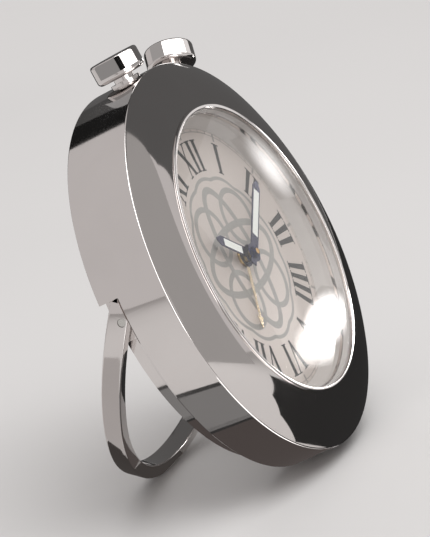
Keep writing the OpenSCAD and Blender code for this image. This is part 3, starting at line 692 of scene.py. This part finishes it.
floorLook = {"size": 14.0, "tint": (0.62, 0.615, 0.61)}
floor = bpy.data.meshes.new("floor")
half = floorLook["size"] / 2
corners = [(-half, -half, 0), (half, -half, 0), (half, half, 0), (-half, half, 0)]
floor.from_pydata(corners, [], [(0, 1, 2, 3)])
floorObject = bpy.data.objects.new("floor", floor)
scene.collection.objects.link(floorObject)
floor.materials.append(paleFloor(floorLook["tint"]))


# light that fades towards a card's edges when soft is over 0
def glow(name, tint, strength, soft):
    f = Finish(name)
    colour = (*tint, 1)
    if soft:
        place = f.node("ShaderNodeTexCoord", give="Generated")
        x, y, z = f.node("ShaderNodeSeparateXYZ", {}, {"Vector": place}, (0, 1, 2))
        away = ((y - 0.5) * (y - 0.5) + (z - 0.5) * (z - 0.5)) ** 0.5
        colour = f.mixed(1.0 - f.rise(away, 0.5 - soft, 0.5), (0, 0, 0, 1), colour)
    f.close(f.node("ShaderNodeEmission", {}, {"Color": colour, "Strength": strength}))
    return f.material


# A studio card that only polished surfaces see. Corners are in metres.
def card(name, corners, strength, tint=(1.0, 0.985, 0.98), soft=0.0, faces=None):
    mesh = bpy.data.meshes.new(name)
    mesh.from_pydata(corners, [], faces or [tuple(range(len(corners)))])
    obj = bpy.data.objects.new(name, mesh)
    scene.collection.objects.link(obj)
    mesh.materials.append(glow(name, tint, strength, soft))
    obj.visible_camera = False
    obj.visible_diffuse = False
    obj.visible_shadow = False
    obj.visible_transmission = False
    return obj


dialMiddle = Vector((0, -0.008, 0.041))


# az 0 looks towards -Y and 90 towards +X; from the middle of the dial
def towards(az, el, distance):
    a, e = math.radians(az), math.radians(el)
    way = Vector((math.sin(a) * math.cos(e), -math.cos(a) * math.cos(e), math.sin(e)))
    return dialMiddle + way * distance


# corners are azimuth and elevation at one distance, y and z where x is constant, or x and y on the floor
def domeCard(name, edges, distance, strength, **look):
    return card(name, [towards(az, el, distance) for az, el in edges], strength, **look)


def uprightCard(name, x, corners, strength, **look):
    return card(name, [(x, y, z) for y, z in corners], strength, **look)


def flatCard(name, corners, strength, **look):
    above = 0.0006
    return card(name, [(x, y, above) for x, y in corners], strength, **look)


uprightCard("darkRight", 0.33, [(-0.235, 0.002), (-0.235, 0.05), (-0.235, 0.13), (-0.32, 0.25), (-0.37, 0.40),
                                (-0.36, 0.62), (0.5, 0.62), (0.5, 0.002)], 0.11)
domeCard("darkBack", [(100, -3), (139, -3), (139, 62), (100, 62)], 0.52, 0.07)
domeCard("blackBack", [(138, -3), (154.6, -3), (154.6, 62), (138, 62)], 0.5, 0.012)
flatCard("darkFloor", [(-0.012, -0.033), (0.006, -0.065), (0.057, -0.122), (0.328, -0.31), (0.328, 0.5),
                       (0.05, 0.07), (0.0, -0.015)], 0.03)
domeCard("greyLeft", [(-4, -3), (44, -3), (44, 66), (-4, 66)], 0.6, 0.40, tint=(1.0, 0.97, 0.95))
domeCard("frontSoft", [(-48, 2), (-10, 2), (-10, 62), (-48, 62)], 0.62, 3.0)
flatCard("frontFloorGlow", [(-0.075, -0.04), (-0.025, -0.024), (-0.014, -0.026), (-0.016, -0.033),
                            (-0.03, -0.072), (-0.075, -0.09)], 2.5)
flatCard("greyFloor", [(-0.0575, 0.017), (-0.0575, -0.02), (-0.037, -0.022), (-0.037, 0.014)], 0.24)
flatCard("darkLineOne", [(-0.0600, 0.018), (-0.0600, -0.02), (-0.0573, -0.02), (-0.0573, 0.017)], 0.06)
flatCard("darkLineTwo", [(-0.0385, 0.014), (-0.0385, -0.022), (-0.036, -0.022), (-0.036, 0.014)], 0.04)
flatCard("duskFloor", [(-0.0362, 0.014), (-0.0362, -0.022), (-0.006, -0.022), (-0.006, 0.012)], 0.09,
         tint=(1.0, 0.86, 0.82))
flatCard("armFloor", [(-0.113, 0.075), (-0.113, 0.040), (-0.060, 0.020), (-0.037, 0.016), (-0.0285, 0.0235),
                      (-0.0310, 0.0285), (-0.060, 0.065)], 0.47, tint=(1.0, 0.95, 0.93))
flatCard("armDark", [(-0.0308, 0.0285), (-0.0285, 0.0235), (-0.0262, 0.0225), (-0.0262, 0.0125),
                     (0.004, 0.0125), (0.004, 0.034)], 0.06, tint=(1.0, 0.9, 0.85))
uprightCard("hazeCard", 0.30, [(-0.195, 0.002), (-0.195, 0.098), (-0.115, 0.098), (-0.115, 0.002)], 0.9)
uprightCard("upperGlow", 0.16, [(-0.069, 0.074), (-0.054, 0.068), (-0.054, 0.043), (-0.069, 0.050)], 10.0,
            soft=0.5)
uprightCard("lowerGlow", 0.11, [(-0.071, 0.0245), (-0.057, 0.0255), (-0.050, 0.020), (-0.059, 0.0105),
                                (-0.070, 0.0115), (-0.079, 0.017)], 24.0, soft=0.34)


collar = {"radius": 6.4, "low": 42.4, "high": 47.8, "steps": 12}


# a curved card close round one crown; angles run from the dial's side
def collarCard(name, turn, out, first, last, strength):
    corners = []
    for k in range(collar["steps"] + 1):
        a = math.radians(first + (last - first) * k / collar["steps"])
        across, forward = collar["radius"] * math.sin(a), crown["behind"] + collar["radius"] * math.cos(a)
        for along in (collar["low"], collar["high"]):
            place = Vector((across, along + out, forward))
            corners.append(clock @ (Matrix.Rotation(math.radians(-turn), 3, "Z") @ place))
    faces = [(2 * k, 2 * k + 1, 2 * k + 3, 2 * k + 2) for k in range(collar["steps"])]
    return card(name, corners, strength, faces=faces)


collarCard("nearGrey", 0, 0, -135, -62.5, 0.32)
collarCard("nearBlack", 0, 0, -62.5, -46, 0.01)
collarCard("nearWhite", 0, 0, -46, 1, 3.0)
collarCard("nearEnd", 0, 0, 1, 62, 0.14)
collarCard("farGrey", crown["spread"], crown["travel"], -118, -75, 0.42)
collarCard("farWhite", crown["spread"], crown["travel"], -75, -8, 3.0)
collarCard("farEnd", crown["spread"], crown["travel"], -8, 14, 0.95)


def softLight(name, az, el, distance, size, power):
    data = bpy.data.lights.new(name, "AREA")
    data.shape = "RECTANGLE"
    data.size, data.size_y = size
    data.energy = power
    obj = bpy.data.objects.new(name, data)
    obj.location = towards(az, el, distance)
    aim = dialMiddle - obj.location
    obj.rotation_mode = "QUATERNION"
    obj.rotation_quaternion = aim.to_track_quat("-Z", "Y")
    scene.collection.objects.link(obj)
    obj.visible_camera = False
    return obj


softLight("keyLight", -20, 62, 1.1, (0.9, 0.9), 9.0)
softLight("fillLight", 119, 34, 1.3, (0.7, 0.6), 3.0)

world = bpy.data.worlds.new("studio")
world.use_nodes = True
world.node_tree.nodes["Background"].inputs["Color"].default_value = (0.62, 0.595, 0.59, 1)
world.node_tree.nodes["Background"].inputs["Strength"].default_value = 1.0
scene.world = world
scene.view_settings.view_transform = "Standard"

view = {
    "place": (-0.44478, -0.19090, 0.15895), "heading": 66.76, "down": 13.95, "roll": 12.63, "lens": 174.3,
}
cameraData = bpy.data.cameras.new("camera")
cameraData.lens = view["lens"]
cameraData.sensor_width = 36
cameraData.clip_start = 0.01
camera = bpy.data.objects.new("camera", cameraData)
camera.rotation_mode = "XYZ"
aim = (Matrix.Rotation(math.radians(-view["heading"]), 4, "Z")
       @ Matrix.Rotation(math.radians(90 - view["down"]), 4, "X")
       @ Matrix.Rotation(math.radians(-view["roll"]), 4, "Z"))
camera.matrix_world = Matrix.Translation(view["place"]) @ aim
scene.collection.objects.link(camera)
scene.camera = camera
print("stage set")

bpy.context.view_layer.update()
